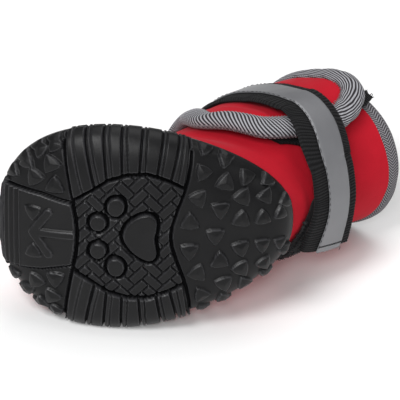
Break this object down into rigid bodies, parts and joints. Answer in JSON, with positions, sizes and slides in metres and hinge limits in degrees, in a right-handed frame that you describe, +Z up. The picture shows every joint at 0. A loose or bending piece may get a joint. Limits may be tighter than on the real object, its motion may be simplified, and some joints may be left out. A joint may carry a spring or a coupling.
{
  "type": "dog bootie",
  "caption": "Soft dog boot lying on its side: rubber cup sole with side ribs and leaf lugs, neoprene upper with a wrap flap, rolled binding and a strap with reflective tape.",
  "frame": {"origin": "middle of the bounding box at the floor, with the boot lying on its right side", "axes": "+X from the toe to the heel, -Y the way the tread faces, +Z up, which is the boot's left side"},
  "size_m": [0.102, 0.0764, 0.0527],
  "materials": {
    "sole_rubber": "satin moulded rubber",
    "insole_felt": "matte felt",
    "red_neoprene": "matte brushed jersey over foam",
    "grey_binding": "matte fine twill tape",
    "striped_binding": "ribbed knit with slanting stripes",
    "black_webbing": "ribbed nylon webbing",
    "black_loop": "fuzzy loop felt",
    "reflective_tape": "smooth retroreflective cloth"
  },
  "bodies": {
    "root": {"outsole": "sole_rubber", "insole": "insole_felt", "upper": "red_neoprene", "collar_binding": "grey_binding", "hook_strip": "black_webbing", "flap": "red_neoprene", "flap_binding": "striped_binding", "loop_patch": "black_loop", "strap": "black_webbing", "reflective_tape": "reflective_tape"}
  },
  "joints": []
}
